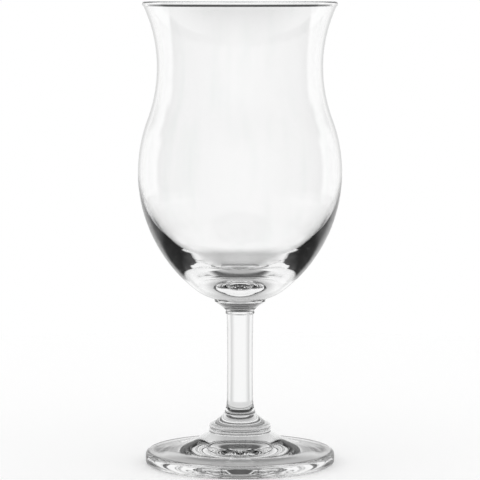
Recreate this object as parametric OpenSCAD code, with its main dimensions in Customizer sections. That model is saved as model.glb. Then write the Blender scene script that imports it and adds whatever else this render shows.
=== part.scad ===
// Hurricane glass: a blown bowl on a turned collar, a solid stem, a second collar and a pressed foot.
// Every piece is a body of revolution about Z. The foot stands on z = 0, and each piece is
// seated face to face on the one below it, where the real glass is sealed together while hot.

/* [Bowl] */
// Height of the bowl, from its seat on the upper collar to the top of the rim
bowl_h = 118.6; // [110:0.1:130]
// Outer diameter at the rim
rim_d = 77.8; // [74:0.1:84]
// Outer diameter at the waist of the bowl
waist_d = 66.1; // [60:0.1:70]
// Height of the waist above the bowl's seat
waist_z = 92.8; // [88:0.1:97]
// Largest outer diameter of the bowl
belly_d = 81.5; // [76:0.1:86]
// Height of the largest diameter above the bowl's seat
belly_z = 50.6; // [46:0.1:54]
// Thickness of the side wall
wall = 1.55; // [1.2:0.05:2.4]
// How far the rounded rim stands proud of each face of the wall
bead_proud = 0.25; // [0.05:0.01:0.5]
// Thickness of the solid base, from the seat to the lowest point inside
base_t = 7.8; // [6:0.1:20]
// Width of the straight slant between the two rounds of the inside
slant_w = 1.6; // [0.5:0.1:8]
// Radius of the heel, where the bowl turns in to its seat
heel_r = 22; // [16:0.5:30]
// Slope of the heel where it meets the seat, in degrees from the level
seat_slope = 14.7; // [8:0.1:30]

/* [Upper collar] */
// Height of the upper collar
upper_collar_h = 6.2; // [5:0.1:9]
// Diameter of the disc that the bowl is sealed to
disc_d = 20.4; // [18:0.1:23]
// Height of the disc's edge
disc_h = 1; // [0.5:0.1:2]
// Diameter of the neck of the collar, above and below its ring
neck_d = 11.1; // [10.8:0.1:13]
// Diameter of the rounded ring at the top of the stem
ring_d = 11.7; // [11:0.1:13]
// Height of the rounded ring
ring_h = 1.3; // [1:0.1:2.4]
// How far the curve from the ring to the disc dips below a straight cone
collar_dip = 0.3; // [0.1:0.1:1.5]

/* [Stem] */
// Length of the stem between the two collars
stem_len = 40.4; // [30:0.1:70]
// Diameter at the top of the stem
stem_top_d = 10.7; // [9.6:0.1:11]
// Diameter at the middle of the stem
stem_mid_d = 10.3; // [9:0.1:10.6]
// Diameter at the start of the flare
stem_low_d = 10.6; // [9.6:0.1:11]
// Diameter at the bottom of the flare, on the lower collar
stem_foot_d = 13; // [12:0.1:15]
// Height of the flare
flare_h = 6; // [4:0.1:9]

/* [Lower collar] */
// Height of the lower collar
lower_collar_h = 7.1; // [6:0.1:10]
// Diameter of the two rounded rings of the band
band_d = 24.8; // [22:0.1:28]
// Height of the band
band_h = 3.2; // [2:0.1:4]
// Height of the groove between the band's two rings
groove_z = 1.3; // [1:0.1:1.8]
// Depth of that groove
groove_depth = 0.4; // [0.1:0.05:0.5]
// How far the shoulder over the band dips below a straight cone
shoulder_dip = 0.3; // [0.1:0.1:1]

/* [Foot] */
// Diameter of the foot
foot_d = 76; // [70:0.5:84]
// Height of the foot, from the table to the lower collar
foot_h = 12.7; // [10:0.1:15]
// Thickness of the foot at its edge
edge_t = 5.2; // [3.4:0.1:6.5]
// Width of the level brim inside the round of the edge
brim_w = 0.6; // [0.2:0.1:6]
// Width of the ring that the foot rests on, round the hollow underneath
rest_w = 4; // [3:0.1:18]
// Depth of the domed hollow underneath
hollow_h = 4.5; // [0.3:0.1:5]

/* [Rounds] */
// Round on the lower edge of the upper collar's disc
collar_round = 0.3; // [0.2:0.05:0.5]
// Round on the upper edge of the foot
edge_top_round = 1.6; // [0.8:0.1:2]
// Round on the lower edge of the foot
edge_low_round = 1.2; // [0.6:0.1:1.4]

/* [Hidden] */
// Largest angle, in degrees, between points along a curve, and along a round on an edge
curve_step = 3;
round_step = 15;
// Largest radius that counts as a round on an edge, and smallest bulge that isn't a straight line
small_r = 3;
straight = 0.001;
$fn = 128;

// Heights of the seats above the table
lower_collar_seat = foot_h;
stem_seat = lower_collar_seat + lower_collar_h;
upper_collar_seat = stem_seat + stem_len;
bowl_seat = upper_collar_seat + upper_collar_h;

// Middle line of the bowl's wall: it is upright at the belly and at the waist, with two equal
// arcs between them, and one more arc from the waist to the bead of the rim
waist_mid = (waist_d - wall) / 2;
belly_mid = (belly_d - wall) / 2;
swell_r = bend_r(waist_z - belly_z, belly_mid - waist_mid) / 2;
swell_turn = bend_turn(waist_z - belly_z, belly_mid - waist_mid);
belly_centre = [belly_mid - swell_r, belly_z];
waist_centre = [waist_mid + swell_r, waist_z];
bead_r = wall / 2 + bead_proud;
flare_rise = bowl_h - bead_r - waist_z;
flare_out = rim_d / 2 - bead_r - waist_mid;
flare_r = bend_r(flare_rise, flare_out);
flare_turn = bend_turn(flare_rise, flare_out);
flare_centre = [waist_mid + flare_r, waist_z];
bead_centre = on_circle(flare_centre, flare_r, 180 - flare_turn);

// Lower outside of the bowl: the heel leaves the seat at its slope, and the taper is the one
// circle that is tangent to the heel and upright at the belly
seat_edge = [disc_d / 2, 0];
heel_centre = on_circle(seat_edge, heel_r, seat_slope + 90);
taper_out = belly_d / 2 - heel_centre.x;
taper_rise = belly_z - heel_centre.y;
taper_r = (taper_out * taper_out + taper_rise * taper_rise - heel_r * heel_r) / (2 * (taper_out - heel_r));
taper_centre = [belly_d / 2 - taper_r, belly_z];
heel_end = heading(heel_centre - taper_centre);

// Inside of the bowl below the belly
cavity_r = belly_d / 2 - wall;
cavity_h = belly_z - base_t;

// Direction of a vector, in degrees
function heading(v) = atan2(v.y, v.x);

// Point on a circle in that direction
function on_circle(c, r, angle) = c + r * [cos(angle), sin(angle)];

// Radius and turn of an arc that sets out along the rise and ends that much to the side
function bend_r(rise, out) = (rise * rise + out * out) / (2 * out);
function bend_turn(rise, out) = 2 * atan2(out, rise);

// How far the middle of such an arc is from the straight line between its ends
function bend_dip(rise, out) = norm([rise, out]) / 2 * tan(bend_turn(rise, out) / 4);

// Number of steps for a turn of that many degrees at that radius
function steps(turn, r) = max(2, ceil(abs(turn) / (abs(r) > small_r ? curve_step : round_step)));

// Points along an arc. Its last point is left out where the next stretch begins there
function arc(c, r, from, to, last = 0) =
    let (n = steps(to - from, r))
    [for (i = [0 : n - 1 + last]) on_circle(c, r, from + (to - from) * i / n)];

// Points between two ends of an arc that bulges that much to the right of the way from a to b
function bow(a, b, bulge) =
    abs(bulge) < straight ? [] :
    let (half = norm(b - a) / 2,
         ahead = (b - a) / (2 * half),
         r = (half * half + bulge * bulge) / (2 * bulge),
         c = (a + b) / 2 - (r - bulge) * [ahead.y, -ahead.x],
         from = heading(a - c),
         turn = 4 * atan2(bulge, half),
         n = steps(turn, r))
    [for (i = [1 : n - 1]) on_circle(c, abs(r), from + turn * i / n)];

// Points of one corner of an outline. A corner is [radius, height, round, bulge of the side after it]
function corner(before, here, after) =
    here[2] == 0 ? [[here.x, here.y]] :
    let (b = [here.x, here.y],
         u = [before.x - b.x, before.y - b.y] / norm([before.x - b.x, before.y - b.y]),
         v = [after.x - b.x, after.y - b.y] / norm([after.x - b.x, after.y - b.y]),
         half = acos(u * v) / 2,
         c = b + (u + v) / norm(u + v) * here[2] / sin(half),
         turn = (cross(u, v) < 0 ? 1 : -1) * (180 - 2 * half),
         from = heading(b + u * here[2] / tan(half) - c))
    arc(c, here[2], from, from + turn, 1);

// Outline of a turned piece from its corners, in order
function outline(corners) =
    let (n = len(corners),
         rounds = [for (i = [0 : n - 1])
             corner(corners[(i + n - 1) % n], corners[i], corners[(i + 1) % n])])
    [for (i = [0 : n - 1]) let (here = rounds[i], after = rounds[(i + 1) % n])
        each concat(here, bow(here[len(here) - 1], after[0], corners[i][3]))];

// A body of revolution standing at height z
module turned(points, z) {
    translate([0, 0, z]) rotate_extrude() polygon(points);
}

module clear_glass() {
    color([0.9, 0.93, 0.94, 0.4]) children();
}

// Turn about the flare's centre from the bead's middle to where a face of the wall meets the bead
function bead_turn(face_r) =
    sign(flare_turn) * acos((flare_r * flare_r + face_r * face_r - bead_r * bead_r) / (2 * flare_r * face_r));

// Blown bowl: thick base, swelling belly, drawn-in waist and flared rim with a rounded edge
module bowl() {
    outer_end = 180 - flare_turn + bead_turn(flare_r - wall / 2);
    inner_end = 180 - flare_turn + bead_turn(flare_r + wall / 2);
    outside = concat(
        arc(heel_centre, heel_r, seat_slope - 90, heel_end),
        arc(taper_centre, taper_r, heel_end, 0),
        arc(belly_centre, swell_r + wall / 2, 0, swell_turn),
        arc(waist_centre, swell_r - wall / 2, 180 + swell_turn, 180),
        arc(flare_centre, flare_r - wall / 2, 180, outer_end));
    bead_from = heading(on_circle(flare_centre, flare_r - wall / 2, outer_end) - bead_centre);
    bead_to = heading(on_circle(flare_centre, flare_r + wall / 2, inner_end) - bead_centre);
    bead = arc(bead_centre, bead_r, bead_from, bead_to + (bead_to < bead_from ? 360 : 0));
    inside = concat(
        arc(flare_centre, flare_r + wall / 2, inner_end, 180),
        arc(waist_centre, swell_r + wall / 2, 180, 180 + swell_turn),
        arc(belly_centre, swell_r - wall / 2, swell_turn, 0));
    round_r = cavity_r - slant_w;
    rounds = concat(
        arc([slant_w, 0], round_r, 0, -45, 1),
        arc([0, -slant_w], round_r, -45, -90),
        [[0, -cavity_r]]);
    cavity = [for (p = rounds) [p.x, belly_z + p.y * cavity_h / cavity_r]];
    clear_glass() turned(concat([[0, 0]], outside, bead, inside, cavity), bowl_seat);
}

// Upper collar: a disc under the bowl that curves in to a rounded ring on the stem
module upper_collar() {
    clear_glass() turned(outline([
        [0, 0, 0, 0],
        [neck_d / 2, 0, 0, (ring_d - neck_d) / 2],
        [neck_d / 2, ring_h, 0, -collar_dip],
        [disc_d / 2, upper_collar_h - disc_h, collar_round, 0],
        [disc_d / 2, upper_collar_h, 0, 0],
        [0, upper_collar_h, 0, 0]]), upper_collar_seat);
}

// Stem: a solid rod, a little slimmer at the middle, that flares onto the lower collar
module stem() {
    slim = (stem_low_d + stem_top_d) / 4 - stem_mid_d / 2;
    clear_glass() turned(outline([
        [0, 0, 0, 0],
        [stem_foot_d / 2, 0, 0, -bend_dip(flare_h, (stem_foot_d - stem_low_d) / 2)],
        [stem_low_d / 2, flare_h, 0, -slim],
        [stem_top_d / 2, stem_len, 0, 0],
        [0, stem_len, 0, 0]]), stem_seat);
}

// Lower collar: a curved shoulder over a band of two rounded rings
module lower_collar() {
    groove_r = band_d / 2 - groove_depth;
    clear_glass() turned(outline([
        [0, 0, 0, 0],
        [groove_r, 0, 0, groove_depth],
        [groove_r, groove_z, 0, groove_depth],
        [groove_r, band_h, 0, -shoulder_dip],
        [stem_foot_d / 2, lower_collar_h, 0, 0],
        [0, lower_collar_h, 0, 0]]), lower_collar_seat);
}

// Foot: a broad disc that rises in one sweep to the lower collar, with a domed hollow underneath
module foot() {
    hollow_r = foot_d / 2 - rest_w;
    brim_r = foot_d / 2 - edge_top_round - brim_w;
    clear_glass() turned(outline([
        [0, hollow_h, 0, -bend_dip(hollow_r, hollow_h)],
        [hollow_r, 0, 0, 0],
        [foot_d / 2, 0, edge_low_round, 0],
        [foot_d / 2, edge_t, edge_top_round, 0],
        [brim_r, edge_t, 0, -bend_dip(brim_r - band_d / 2, foot_h - edge_t)],
        [band_d / 2, foot_h, 0, 0],
        [0, foot_h, 0, 0]]), 0);
}

bowl();
upper_collar();
stem();
lower_collar();
foot();
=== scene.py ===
# %% [markdown]
# # A hurricane glass
#
# A tall drinking glass in clear glass: a blown bowl with a flared rim, a drawn-in waist and a
# swelling belly, a turned collar, a solid stem, a second collar and a broad pressed foot.
# Everything here is a body of revolution, so each piece is drawn once as half an outline and
# then spun about the upright axis, just as a lathe or a spinning mould would make it.

import math

import bmesh
import bpy
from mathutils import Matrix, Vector


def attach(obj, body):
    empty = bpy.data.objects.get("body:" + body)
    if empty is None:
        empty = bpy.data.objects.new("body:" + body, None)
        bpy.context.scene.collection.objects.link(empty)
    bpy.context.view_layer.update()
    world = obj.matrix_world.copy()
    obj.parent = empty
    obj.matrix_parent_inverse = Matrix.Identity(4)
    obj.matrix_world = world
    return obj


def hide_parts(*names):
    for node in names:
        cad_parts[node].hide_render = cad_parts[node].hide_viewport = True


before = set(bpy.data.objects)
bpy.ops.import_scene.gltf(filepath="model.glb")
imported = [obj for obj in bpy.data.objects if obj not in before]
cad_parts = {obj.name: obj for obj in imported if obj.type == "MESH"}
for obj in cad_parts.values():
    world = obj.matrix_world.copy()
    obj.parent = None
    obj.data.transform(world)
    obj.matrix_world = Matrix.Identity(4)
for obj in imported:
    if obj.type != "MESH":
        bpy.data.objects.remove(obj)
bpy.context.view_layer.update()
print("pieces to dress:", ", ".join(sorted(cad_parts)))

# %% [markdown]
# ## The camera
#
# The picture is taken from just about rim height, a metre away, through a long lens.
# From there the rim closes to a thin line while the foot, lower down, still opens to an ellipse.
# The lens is given by its focal length in pixels, because that is how it was measured.

# %% Set up the camera
MM = 0.001
CAMERA_AWAY = 1028.07 * MM
CAMERA_HIGH = 188.69 * MM
CAMERA_DOWN = math.radians(5.487)
FRAME_PIXELS = 480
FOCAL_PIXELS = 2581

camera_data = bpy.data.cameras.new("camera")
camera_data.sensor_width = 36
camera_data.lens = camera_data.sensor_width * FOCAL_PIXELS / FRAME_PIXELS
camera = bpy.data.objects.new("camera", camera_data)
camera.location = (0, -CAMERA_AWAY, CAMERA_HIGH)
camera.rotation_euler = (math.pi / 2 - CAMERA_DOWN, 0, 0)
bpy.context.collection.objects.link(camera)
bpy.context.scene.camera = camera
print("lens in mm:", round(camera_data.lens, 1))

# %% [markdown]
# ## Drawing and spinning an outline
#
# An outline starts at one point and grows: a straight stretch pulls a new point out of the last
# one, and a round stretch spins the last point about a centre. The whole chain of edges is then
# spun once round the upright axis, and the points on the axis close up to a single pole.
# Curves are cut into steps of a few degrees, finer on flat curves and coarser on tight rounds.
# Where two pieces are sealed together, the seat between them is marked, so that it can be made
# invisible: in the real glass there is no surface there, only more glass.

# %% Helpers for turned pieces
AROUND = 256
CURVE_STEP, FLAT_STEP, ROUND_STEP = 1.5, 0.5, 7.5
EIGHTH = 45
POLE_GAP = 1e-4 * MM
SEAT_SLACK = 1e-3 * MM
CREASE = math.radians(25)


def heading(v):
    """Direction of a vector, in degrees."""
    return math.degrees(math.atan2(v.y, v.x))


def on_circle(centre, radius, angle):
    """The point of a circle that lies in that direction, in degrees."""
    angle = math.radians(angle)
    return Vector(centre) + radius * Vector((math.cos(angle), math.sin(angle)))


class Outline:
    """Half an outline in the XZ plane, in millimetres, drawn from point to point."""

    def __init__(self, r, z):
        self.bm = bmesh.new()
        self.tip = self.bm.verts.new((r * MM, 0, z * MM))

    def place(self):
        """Where the tip is, as radius and height."""
        return Vector((self.tip.co.x, self.tip.co.z)) / MM

    def line(self, r, z):
        """Pulls a straight edge out of the tip."""
        pulled = bmesh.ops.extrude_vert_indiv(self.bm, verts=[self.tip])
        self.tip = pulled["verts"][0]
        self.tip.co = (r * MM, 0, z * MM)
        return self

    def arc(self, centre, turn, step=CURVE_STEP):
        """Spins the tip about a centre; a positive turn runs from +X towards +Z."""
        spun = bmesh.ops.spin(
            self.bm, geom=[self.tip], cent=(centre[0] * MM, 0, centre[1] * MM),
            axis=(0, -1, 0), angle=math.radians(turn),
            steps=max(2, math.ceil(abs(turn) / step)), use_merge=False)
        self.tip = next(g for g in spun["geom_last"] if isinstance(g, bmesh.types.BMVert))
        return self

    def bow(self, r, z, bulge, step=CURVE_STEP):
        """Draws to a point along an arc that bulges that much to the right of the way there."""
        start, end = self.place(), Vector((r, z))
        half = (end - start).length / 2
        ahead = (end - start).normalized()
        radius = (half ** 2 + bulge ** 2) / (2 * bulge)
        centre = (start + end) / 2 - (radius - bulge) * Vector((ahead.y, -ahead.x))
        self.arc(centre, math.degrees(4 * math.atan2(bulge, half)), step)
        self.tip.co = (r * MM, 0, z * MM)
        return self

    def round_to(self, corner, after, radius):
        """Draws towards a corner, rounds it, and leaves the tip where the round ends."""
        corner = Vector(corner)
        back, on = (self.place() - corner).normalized(), (Vector(after) - corner).normalized()
        half = back.angle(on) / 2
        centre = corner + (back + on).normalized() * radius / math.sin(half)
        side = 1 if back.x * on.y - back.y * on.x < 0 else -1
        self.line(*(corner + back * radius / math.tan(half)))
        return self.arc(centre, side * math.degrees(math.pi - 2 * half), ROUND_STEP)


def spin_piece(outline, name, seats):
    """Spins an outline into a closed piece. seats lists (radius, height) of its sealed faces."""
    bm = outline.bm
    bmesh.ops.spin(
        bm, geom=bm.verts[:] + bm.edges[:], cent=(0, 0, 0), axis=(0, 0, 1),
        angle=math.tau, steps=AROUND, use_merge=True)
    bmesh.ops.remove_doubles(bm, verts=bm.verts, dist=POLE_GAP)
    bmesh.ops.recalc_face_normals(bm, faces=bm.faces)
    for edge in bm.edges:
        edge.smooth = edge.calc_face_angle(0) < CREASE
    for face in bm.faces:
        face.smooth = True
        for radius, height in seats:
            flat = all(abs(v.co.z - height * MM) < SEAT_SLACK for v in face.verts)
            inside = all(v.co.xy.length < radius * MM + SEAT_SLACK for v in face.verts)
            if flat and inside:
                face.material_index = 1
    mesh = bpy.data.meshes.new(name)
    bm.to_mesh(mesh)
    bm.free()
    piece = bpy.data.objects.new(name, mesh)
    bpy.context.collection.objects.link(piece)
    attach(piece, "root")
    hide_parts(name)
    print(name, "faces:", len(mesh.polygons))
    return piece


# %% [markdown]
# ## Where the pieces meet
#
# The five pieces stand on one another, from the table up. Each seat is a flat circle, and its
# height is the sum of the pieces below it. The widths at the seats are shared by both sides.

# %% Heights and widths of the seats
FOOT_H, LOWER_COLLAR_H, STEM_LEN, UPPER_COLLAR_H, BOWL_H = 12.7, 7.1, 40.4, 6.2, 118.6
LOWER_SEAT = FOOT_H
STEM_SEAT = LOWER_SEAT + LOWER_COLLAR_H
UPPER_SEAT = STEM_SEAT + STEM_LEN
BOWL_SEAT = UPPER_SEAT + UPPER_COLLAR_H
TOP_Z = BOWL_SEAT + BOWL_H

DISC_R = 10.2
STEM_TOP_R = 5.35
STEM_FOOT_R = 6.5
BAND_R = 12.4
GROOVE_DEPTH = 0.4
GROOVE_R = BAND_R - GROOVE_DEPTH
print("height in mm:", round(TOP_Z, 1))

# %% [markdown]
# ## The bowl
#
# The bowl is blown in a mould, so its wall is even, and its rim is cut and melted round in a
# flame, which leaves a bead a little thicker than the wall. Seen from the side, the middle of the
# wall is three arcs: it is upright at the belly and at the waist, and leans out again to the rim.
# Below the belly a long taper and a tighter heel bring the outside down to the seat. The inside
# is rounder than the outside, so the glass grows thick towards the base and works as a lens.

# %% Work out the arcs of the bowl
RIM_R, WAIST_R, BELLY_R = 38.9, 33.05, 40.75
WAIST_UP, BELLY_UP = 92.8, 50.6
WAIST_Z, BELLY_Z = BOWL_SEAT + WAIST_UP, BOWL_SEAT + BELLY_UP
WALL, BEAD_PROUD, BASE_T = 1.55, 0.25, 7.8
HEEL_R, SEAT_SLOPE, SLANT_W = 22, 14.7, 1.6


def bend(rise, out):
    """Radius and turn of an arc that sets out along the rise and ends that much to the side."""
    return (rise ** 2 + out ** 2) / (2 * out), math.degrees(2 * math.atan2(out, rise))


waist_mid, belly_mid = WAIST_R - WALL / 2, BELLY_R - WALL / 2
double_r, swell_turn = bend(WAIST_Z - BELLY_Z, belly_mid - waist_mid)
swell_r = double_r / 2
belly_centre = Vector((belly_mid - swell_r, BELLY_Z))
waist_centre = Vector((waist_mid + swell_r, WAIST_Z))

bead_r = WALL / 2 + BEAD_PROUD
flare_r, flare_turn = bend(TOP_Z - bead_r - WAIST_Z, RIM_R - bead_r - waist_mid)
flare_centre = Vector((waist_mid + flare_r, WAIST_Z))
bead_centre = on_circle(flare_centre, flare_r, 180 - flare_turn)

seat_edge = Vector((DISC_R, BOWL_SEAT))
heel_centre = on_circle(seat_edge, HEEL_R, SEAT_SLOPE + 90)
taper_out, taper_rise = BELLY_R - heel_centre.x, BELLY_Z - heel_centre.y
taper_r = (taper_out ** 2 + taper_rise ** 2 - HEEL_R ** 2) / (2 * (taper_out - HEEL_R))
taper_centre = Vector((BELLY_R - taper_r, BELLY_Z))
heel_end = heading(heel_centre - taper_centre)
print("radii of swell, flare and taper:", round(swell_r, 1), round(flare_r, 1), round(taper_r, 1))

# %% Turn the bowl


def face_turn(face_r):
    """Turn about the flare's centre from the waist to where a face of the wall meets the bead."""
    cosine = (flare_r ** 2 + face_r ** 2 - bead_r ** 2) / (2 * flare_r * face_r)
    return flare_turn - math.degrees(math.acos(cosine))


outline = Outline(0, BOWL_SEAT).line(*seat_edge)
outline.arc(heel_centre, heel_end - (SEAT_SLOPE - 90)).arc(taper_centre, -heel_end)
outline.arc(belly_centre, swell_turn).arc(waist_centre, -swell_turn)
outline.arc(flare_centre, -face_turn(flare_r - WALL / 2))

inner_turn = face_turn(flare_r + WALL / 2)
inner_start = on_circle(flare_centre, flare_r + WALL / 2, 180 - inner_turn)
onto_bead, off_bead = heading(outline.place() - bead_centre), heading(inner_start - bead_centre)
outline.arc(bead_centre, (off_bead - onto_bead) % 360, ROUND_STEP)
outline.arc(flare_centre, inner_turn)
outline.arc(waist_centre, swell_turn).arc(belly_centre, -swell_turn)

# the inside of the base: an eighth of a turn, a short slant and another eighth, drawn out downwards
inner_r = BELLY_R - WALL
above = set(outline.bm.verts)
outline.arc((SLANT_W, BELLY_Z), -EIGHTH)
outline.line(*(outline.place() - Vector((SLANT_W, SLANT_W))))
outline.arc((0, BELLY_Z - SLANT_W), -EIGHTH)
deepen = (BELLY_Z - BOWL_SEAT - BASE_T) / inner_r
for v in set(outline.bm.verts) - above:
    v.co.z = BELLY_Z * MM + (v.co.z - BELLY_Z * MM) * deepen
bowl = spin_piece(outline, "bowl", [(DISC_R, BOWL_SEAT)])

# %% [markdown]
# ## The upper collar
#
# A thin disc carries the bowl and narrows, in a cone that is only just hollow, to a rounded ring
# at the top of the stem. On a real glass it is pressed with the stem, before the bowl is sealed on.

# %% Turn the upper collar
NECK_R, RING_R, RING_H = 5.55, 5.85, 1.3
DISC_H, COLLAR_DIP, COLLAR_ROUND = 1.0, 0.3, 0.3
disc_low = BOWL_SEAT - DISC_H

outline = Outline(0, UPPER_SEAT).line(STEM_TOP_R, UPPER_SEAT).line(NECK_R, UPPER_SEAT)
outline.bow(NECK_R, UPPER_SEAT + RING_H, RING_R - NECK_R, ROUND_STEP)
outline.bow(DISC_R - COLLAR_ROUND, disc_low - COLLAR_ROUND, -COLLAR_DIP)
outline.round_to((DISC_R, disc_low), (DISC_R, BOWL_SEAT), COLLAR_ROUND)
outline.line(DISC_R, BOWL_SEAT).line(0, BOWL_SEAT)
upper_collar = spin_piece(
    outline, "upper_collar", [(STEM_TOP_R, UPPER_SEAT), (DISC_R, BOWL_SEAT)])

# %% [markdown]
# ## The stem
#
# The stem is a solid rod, drawn a little slimmer at its middle than at its ends, and it flares
# out where it runs into the lower collar.

# %% Turn the stem
STEM_LOW_R, STEM_MID_R, FLARE_H = 5.3, 5.15, 6.0
STEM_STEP = 0.2
stem_slim = (STEM_LOW_R + STEM_TOP_R) / 2 - STEM_MID_R
foot_flare_r, foot_flare_turn = bend(FLARE_H, STEM_FOOT_R - STEM_LOW_R)

outline = Outline(0, STEM_SEAT).line(STEM_FOOT_R, STEM_SEAT)
outline.arc((STEM_LOW_R + foot_flare_r, STEM_SEAT + FLARE_H), -foot_flare_turn)
outline.bow(STEM_TOP_R, UPPER_SEAT, -stem_slim, STEM_STEP)
outline.line(0, UPPER_SEAT)
stem = spin_piece(outline, "stem", [(STEM_FOOT_R, STEM_SEAT), (STEM_TOP_R, UPPER_SEAT)])

# %% [markdown]
# ## The lower collar
#
# Two rounded rings with a fine groove between them make a band round the bottom of the stem,
# and a curved shoulder closes over it.

# %% Turn the lower collar
BAND_H, GROOVE_Z, SHOULDER_DIP = 3.2, 1.3, 0.3

outline = Outline(0, LOWER_SEAT).line(GROOVE_R, LOWER_SEAT)
outline.bow(GROOVE_R, LOWER_SEAT + GROOVE_Z, GROOVE_DEPTH, ROUND_STEP)
outline.bow(GROOVE_R, LOWER_SEAT + BAND_H, GROOVE_DEPTH, ROUND_STEP)
outline.bow(STEM_FOOT_R, STEM_SEAT, -SHOULDER_DIP)
outline.line(0, STEM_SEAT)
lower_collar = spin_piece(
    outline, "lower_collar", [(GROOVE_R, LOWER_SEAT), (STEM_FOOT_R, STEM_SEAT)])

# %% [markdown]
# ## The foot
#
# The foot is pressed: one sweep from a rounded edge up to the collar, and a domed hollow
# underneath, so that the glass stands on a ring and doesn't rock. The hollow also decides how
# the foot looks, because light is thrown to and fro between the dome and the sweep.

# %% Turn the foot
FOOT_R, EDGE_T, BRIM_W = 38.0, 5.2, 0.6
REST_W, HOLLOW_H = 4.0, 4.5
EDGE_TOP_ROUND, EDGE_LOW_ROUND = 1.6, 1.2
hollow_r = FOOT_R - REST_W
brim_r = FOOT_R - EDGE_TOP_ROUND - BRIM_W
dome_r, dome_turn = bend(hollow_r, HOLLOW_H)
sweep_r, sweep_turn = bend(brim_r - BAND_R, FOOT_H - EDGE_T)

outline = Outline(0, HOLLOW_H).arc((0, HOLLOW_H - dome_r), -dome_turn, FLAT_STEP)
outline.round_to((FOOT_R, 0), (FOOT_R, EDGE_T), EDGE_LOW_ROUND)
outline.round_to((FOOT_R, EDGE_T), (0, EDGE_T), EDGE_TOP_ROUND)
outline.line(brim_r, EDGE_T).arc((brim_r, EDGE_T + sweep_r), -sweep_turn, FLAT_STEP)
outline.line(GROOVE_R, FOOT_H).line(0, FOOT_H)
foot = spin_piece(outline, "foot", [(GROOVE_R, LOWER_SEAT)])

# %% [markdown]
# ## Arithmetic with nodes
#
# The finishes below are small sums of node sockets. A thin wrapper lets them be written as plain
# arithmetic: adding two wrapped sockets adds a Math node, and so on.

# %% A socket that can be added and multiplied
class Value:
    """A socket of a node tree. Arithmetic on it adds Math nodes."""

    def __init__(self, socket):
        self.socket = socket

    @classmethod
    def node(cls, tree, kind, settings=(), sockets=(), take=0):
        """Adds a node: first its settings, then the values or links of its sockets."""
        made = tree.nodes.new("ShaderNode" + kind)
        for name, setting in dict(settings).items():
            setattr(made, name, setting)
        for name, given in dict(sockets).items():
            if isinstance(given, Value):
                tree.links.new(given.socket, made.inputs[name])
            else:
                made.inputs[name].default_value = given
        return cls(made.outputs[take]) if made.outputs else None

    def math(self, operation, *others):
        """Any operation of the Math node."""
        return Value.node(
            self.socket.id_data, "Math", {"operation": operation}, enumerate([self, *others]))

    def __add__(self, other):
        return self.math("ADD", other)

    def __sub__(self, other):
        return self.math("SUBTRACT", other)

    def __rsub__(self, other):
        return self.math("MULTIPLY", -1.0) + other

    def __mul__(self, other):
        return self.math("MULTIPLY", other)

    __radd__ = __add__
    __rmul__ = __mul__

    def rises(self, start, end):
        """0 up to start, 1 from end on, and a soft rise between."""
        return Value.node(
            self.socket.id_data, "MapRange", {"interpolation_type": "SMOOTHSTEP"},
            {"Value": self, "From Min": start, "From Max": end})

    def between(self, low, high):
        """Goes from low to high while this value goes from 0 to 1."""
        return low + (high - low) * self


# %% [markdown]
# ## Clear glass
#
# Soda-lime glass, fire-polished, with a refractive index of 1.52. Even good glass isn't perfectly
# plain. Cooling in the mould leaves the surface wavy by a few thousandths of a millimetre, and
# faint upright streaks, called cords, run through it where the melt wasn't stirred evenly. The
# ring that the foot rests on is dulled a little, in specks, by the tables it has stood on.
# The sealed seats get a finish that lets everything pass, so that light runs on from one piece
# into the next as it does in the fused glass.

# %% Mix the glass
RIPPLE_SCALE, RIPPLE_DEPTH = 60, 0.006 * MM
CORD_SCALE, CORD_STRETCH, CORD_EDGE = 160, (1, 1, 0.12), (0.5, 0.75)
CORD_TINT = (0.97, 0.98, 0.975, 1)
SPECK_SCALE, SPECK_EDGE = 900, (0.4, 0.6)
WORN_UP_TO, WORN_ROUGHNESS = 0.3 * MM, 0.12

glass = bpy.data.materials.new("clear_glass")
glass.use_nodes = True
melt = glass.node_tree
spot = Value.node(melt, "TexCoord", take="Object")
height = Value.node(melt, "SeparateXYZ", (), {0: spot}, 2)

ripple = Value.node(melt, "TexNoise", (), {"Vector": spot, "Scale": RIPPLE_SCALE, "Detail": 1})
wavy = Value.node(melt, "Bump", (), {"Height": ripple, "Distance": RIPPLE_DEPTH})
drawn = Value.node(melt, "VectorMath", {"operation": "MULTIPLY"}, {0: spot, 1: CORD_STRETCH})
cord = Value.node(melt, "TexNoise", (), {"Vector": drawn, "Scale": CORD_SCALE}).rises(*CORD_EDGE)
tint = Value.node(
    melt, "Mix", {"data_type": "RGBA"}, {0: cord, 6: (1, 1, 1, 1), 7: CORD_TINT}, 2)
speck = Value.node(melt, "TexNoise", (), {"Vector": spot, "Scale": SPECK_SCALE}).rises(*SPECK_EDGE)
worn = (1 - height.rises(0, WORN_UP_TO)) * speck * WORN_ROUGHNESS

shader = melt.nodes["Principled BSDF"]
shader.inputs["IOR"].default_value = 1.52
shader.inputs["Transmission Weight"].default_value = 1.0
for value, socket in ((tint, "Base Color"), (worn, "Roughness"), (wavy, "Normal")):
    melt.links.new(value.socket, shader.inputs[socket])

sealed = bpy.data.materials.new("sealed_seat")
sealed.use_nodes = True
sealed.node_tree.nodes["Principled BSDF"].inputs["Alpha"].default_value = 0

for piece in (bowl, upper_collar, stem, lower_collar, foot):
    piece.data.materials.append(glass)
    piece.data.materials.append(sealed)
print("nodes in the glass:", len(melt.nodes))

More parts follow.
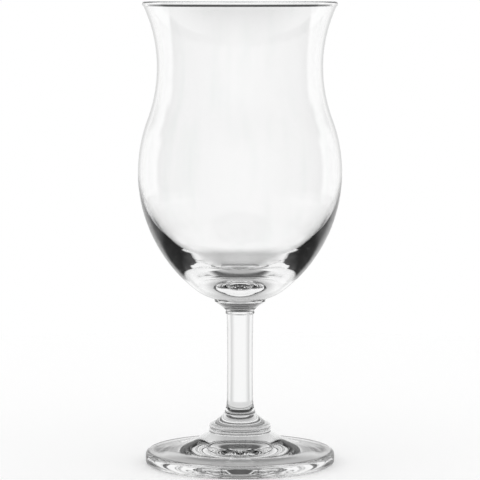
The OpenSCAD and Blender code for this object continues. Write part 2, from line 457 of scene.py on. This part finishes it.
# %% [markdown]
# ## What the glass looks at
#
# Clear glass has no colour of its own: it shows its surroundings. So the room is laid out like a
# still-life table. Plain diffuse light is white and the same from all sides, but light that
# comes by way of the glass finds a white sheet behind it, black cards at both sides, a dim
# ceiling, and a dark room in front with one pale patch where the lamps spill over.
#
# Counting the turns of the light tells two kinds apart. Light that went straight on, or glanced
# off one thin wall on its way, shows the white sheet. Light that was thrown back inside the thick
# base, the collars or the foot shows the rest of the room, and that draws the dark bands.
# Directions are given as a bearing: 0 degrees is straight behind the glass, 180 is the camera.
# A soft border is a pair of numbers: where it begins and where it is complete.

# %% Tell the kinds of light apart
BLACK, WHITE = 0.012, 1.0


def path(tree, output):
    """One reading of the Light Path node."""
    return Value.node(tree, "LightPath", take=output)


def bearing(x, y):
    """Degrees away from straight behind the glass."""
    return x.math("ARCTAN2", y).math("ABSOLUTE") * math.degrees(1)


def through_glass(tree):
    """1 for light that came by way of the glass and wasn't scattered by the paper."""
    by_glass = path(tree, "Is Glossy Ray").math("MAXIMUM", path(tree, "Is Transmission Ray"))
    return by_glass * path(tree, "Diffuse Depth").math("LESS_THAN", 0.5)


def turned(tree, times):
    """1 for light that was turned back at least that many times."""
    return path(tree, "Glossy Depth").math("GREATER_THAN", times - 0.5)


def one_piece(tree):
    """1 for light that has gone into and out of no more than one piece of glass."""
    return path(tree, "Transmission Depth").math("LESS_THAN", 2.5)


def thrown_back(tree):
    """1 for light that was turned back in the first piece it met, or more than once."""
    return (turned(tree, 1) * one_piece(tree)).math("MAXIMUM", turned(tree, 2))


def mirrored(tree):
    """1 for light that is mirrored by the outside and hasn't been in the glass."""
    return path(tree, "Transmission Depth").math("LESS_THAN", 0.5)


# %% Levels of the front and of the sheet
PALE, PALE_FROM = 0.3, (148, 178)
BORDER_GREY, BORDER_FROM, BORDER_TO = 0.74, (14, 31), (33, 39)
MARGIN_GREY, MARGIN_FROM = 0.75, (58, 66)


def front_level(tree, az):
    """The dark room on the camera's side, with its pale patch straight ahead."""
    return mirrored(tree).between(az.rises(*PALE_FROM).between(BLACK, PALE), PALE)


def sheet_level(tree, az):
    """The white sheet. Through a solid piece its border shows as a thin grey line."""
    border = az.rises(*BORDER_FROM) * (1 - az.rises(*BORDER_TO))
    solid = az.rises(*MARGIN_FROM).between(border.between(WHITE, BORDER_GREY), MARGIN_GREY)
    return one_piece(tree).between(WHITE, solid)


# %% [markdown]
# ## The paper on the table
#
# A round sheet of white paper takes the glass's soft shadow. Seen by way of the glass it glows
# instead, though it is no lamp, with painted tones set by the distance from the middle and by the
# bearing: painted shade under the stem and the foot, white close behind it, then a painted dark
# band at the sides, and painted greys farther out. Straight through the bowl, the paper under the
# foot and just behind it carries a painted copy of the glass's own shade, and that gives the floor
# of the bowl its soft grey. Distances are in metres.

# %% Lay the paper
FLOOR_R = 0.4
bm = bmesh.new()
bmesh.ops.create_circle(bm, cap_ends=True, segments=128, radius=FLOOR_R)
mesh = bpy.data.meshes.new("floor")
bm.to_mesh(mesh)
bm.free()
floor = bpy.data.objects.new("floor", mesh)
bpy.context.collection.objects.link(floor)
print("paper across, in metres:", 2 * FLOOR_R)

# %% Measure the paper
paper = bpy.data.materials.new("white_paper")
paper.use_nodes = True
leaf = paper.node_tree
place = Value.node(leaf, "TexCoord", take="Object")
px, py = (Value.node(leaf, "SeparateXYZ", (), {0: place}, i) for i in range(2))
far = (px * px + py * py).math("SQRT")
side = bearing(px, py)
print("nodes that measure the paper:", len(leaf.nodes))

# %% Tones of the paper for light that was thrown back
# painted shade on the paper under the stem and the foot, seen only by way of the glass
STEM_EDGE, PAINTED_STEM_SHADE = (0.018, 0.028), 0.05
FOOT_EDGE, PAINTED_FOOT_SHADE = (0.034, 0.042), 0.42
NEAR_SIDES, PAINTED_NEAR_GREY = (55, 75), 0.6
DARK_BAND_FROM, DARK_BAND_SIDES, PAINTED_BAND_GREY = (0.086, 0.116), (24, 40), 0.12
EDGE_FROM, EDGE_SIDES, PAINTED_OUTER_GREY = (0.18, 0.26), (34, 48), 0.55
EDGE_MIDDLE, PAINTED_OUTER_DIM = (10, 22), 0.5
FRONT_PAPER = (95, 150)

middle = far.rises(*STEM_EDGE)
# painted grey on the paper at the sides close by the glass
near = side.rises(*NEAR_SIDES).between(WHITE, PAINTED_NEAR_GREY)
# a painted dark band on the paper at the sides, seen only by way of the glass
painted_dark_band = side.rises(*DARK_BAND_SIDES).between(WHITE, PAINTED_BAND_GREY)
# painted greys farther out on the paper, dimmer straight behind
edge = side.rises(*EDGE_SIDES).between(WHITE, PAINTED_OUTER_GREY)
edge = side.rises(*EDGE_MIDDLE).between(PAINTED_OUTER_DIM, edge)
painted_glow = far.rises(*DARK_BAND_FROM).between(near, painted_dark_band)
painted_glow = far.rises(*EDGE_FROM).between(painted_glow, edge)
painted_glow = side.rises(*FRONT_PAPER).between(painted_glow, front_level(leaf, side))
# painted shade: dark under the stem, grey under the rest of the foot
painted_glow = far.rises(*FOOT_EDGE).between(middle.between(PAINTED_STEM_SHADE, PAINTED_FOOT_SHADE), painted_glow)
print("nodes with the thrown-back tones:", len(leaf.nodes))

# %% Tones of the paper for light that went straight on
SHADE_ENDS, SHADE_SIDES = (0.08, 0.12), 0.85
SHADE_FRONT, SHADE_STEM, SHADE_FOOT = (95, 125), 0.3, 0.47
BEHIND_FROM, BEHIND_SIDES, PAINTED_BEHIND_SHADE = (0.036, 0.05), (25, 50), 0.75
OWN_ENDS, OWN_SIDES, OWN_GREY = (0.08, 0.18), (6, 20), 0.25
OWN_FOOT_EDGE, OWN_FOOT_GREY = (0.036, 0.06), 0.5

# painted shade on the paper for light that went straight on: under the stem and the foot in front,
# behind the foot, and the glass's own shade close behind it
shade = side.rises(*SHADE_FRONT).between(SHADE_SIDES, middle.between(SHADE_STEM, SHADE_FOOT))
behind = far.rises(*BEHIND_FROM) * (1 - side.rises(*BEHIND_SIDES))
shade = behind.between(shade, PAINTED_BEHIND_SHADE)
plain = far.rises(*SHADE_ENDS).between(shade, sheet_level(leaf, side))
own_shade = far.rises(*OWN_ENDS).between(OWN_GREY, WHITE)
own_shade = side.rises(*OWN_SIDES).between(own_shade, WHITE)
own_shade = far.rises(*OWN_FOOT_EDGE).between(OWN_FOOT_GREY, own_shade)
plain = one_piece(leaf).between(own_shade, plain)
painted_glow = thrown_back(leaf).between(plain, painted_glow)
print("nodes with both kinds of tones:", len(leaf.nodes))

# %% Finish the paper
seen = through_glass(leaf)
paper_shader = leaf.nodes["Principled BSDF"]
paper_shader.inputs["Specular IOR Level"].default_value = 0
paper_shader.inputs["Roughness"].default_value = 1
paper_shader.inputs["Emission Strength"].default_value = 1
# seen by way of the glass the paper loses its white and glows with the painted tones, though it is
# no lamp; the camera still sees plain white paper with its real shadow
for value, socket in ((1 - seen, "Base Color"), (seen * painted_glow, "Emission Color")):
    grey = Value.node(leaf, "CombineColor", (), {0: value, 1: value, 2: value})
    leaf.links.new(grey.socket, paper_shader.inputs[socket])
paper.cycles.emission_sampling = "NONE"
floor.data.materials.append(paper)
print("nodes in the paper:", len(leaf.nodes))

# %% [markdown]
# ## The room
#
# The room is all world, with no lamps: height is given in degrees above the horizon. The sheet
# behind is a little dimmer at its middle than at its sides, except low down, as the outside mirrors
# it. The black cards lean in: they begin at a bearing of about 72 degrees near the table and 65
# higher up. The ceiling is dim, darkest low down over the sheet. Light that has only passed the
# bead of the rim sees the dark strip above the sheet, which draws the rim's thin dark line.

# %% Measure the room
world = bpy.data.worlds.new("studio")
bpy.context.scene.world = world
world.use_nodes = True
air = world.node_tree
air.nodes.clear()
way = Value.node(air, "TexCoord", take="Generated")
wx, wy, wz = (Value.node(air, "SeparateXYZ", (), {0: way}, i) for i in range(3))
az = bearing(wx, wy)
el = wz.math("ARCSINE") * math.degrees(1)
print("nodes that measure the room:", len(air.nodes))

# %% Sheet, cards, ceiling and front
SHEET_MIDDLE, SHEET_DIM = (8, 34), 0.5
SHEEN_ENDS, SHEEN = (6, 10), 0.9
CARDS_LOW, CARDS_HIGH, CARDS_LEAN = (69, 75), (62, 67), (10, 16)
CARD_EDGE, CARD_EDGE_GREY = (67, 79), 0.04
LOW_CEILING_FROM, LOW_CEILING_SIDES, LOW_CEILING_GREY = (17, 26), (27, 41), 0.1
FRONT_FROM, FRONT_TOP = (120, 150), (12, 35)
CEILING_FROM, CEILING_ENDS, CEILING_GREY = (48, 63), (100, 140), 0.43

sheen = mirrored(air) * (1 - el.rises(*SHEEN_ENDS))
back = az.rises(*SHEET_MIDDLE).between(sheen.between(SHEET_DIM, SHEEN), WHITE)
cards = az.rises(*CARD_EDGE).between(CARD_EDGE_GREY, BLACK)
beside = el.rises(*CARDS_LEAN).between(az.rises(*CARDS_LOW), az.rises(*CARDS_HIGH))
level = beside.between(back, cards)
low_ceiling = el.rises(*LOW_CEILING_FROM) * (1 - az.rises(*LOW_CEILING_SIDES))
level = low_ceiling.between(level, LOW_CEILING_GREY)
front = front_level(air, az) * (1 - el.rises(*FRONT_TOP))
level = az.rises(*FRONT_FROM).between(level, front)
ceiling = el.rises(*CEILING_FROM) * (1 - az.rises(*CEILING_ENDS))
level = ceiling.between(level, CEILING_GREY)
print("nodes with the room's parts:", len(air.nodes))

# %% Light the room
STRIP_FROM, STRIP_GREY = (2, 8), 0.08
HORIZON, WHITE_FRONT = (-1, 2), (90, 120)

strip = one_piece(air) * (1 - turned(air, 1)) * el.rises(*STRIP_FROM)
level = strip.between(level, STRIP_GREY)
below = (1 - el.rises(*HORIZON)).math("MAXIMUM", az.rises(*WHITE_FRONT))
white = below.math("MAXIMUM", turned(air, 1)) * (1 - thrown_back(air))
level = white.between(level, sheet_level(air, az))
strength = through_glass(air).between(WHITE, level)
sky = Value.node(air, "Background", (), {"Color": (1, 1, 1, 1), "Strength": strength})
Value.node(air, "OutputWorld", (), {"Surface": sky})
print("nodes in the room:", len(air.nodes))

# %% [markdown]
# ## Taking the picture
#
# Light turns many times inside thick glass before it comes out, so the path is allowed to be long.

# %% Finish
scene = bpy.context.scene
scene.view_settings.view_transform = "Standard"
scene.cycles.max_bounces = 32
scene.cycles.transmission_bounces = 32
scene.cycles.glossy_bounces = 16
scene.cycles.transparent_max_bounces = 32
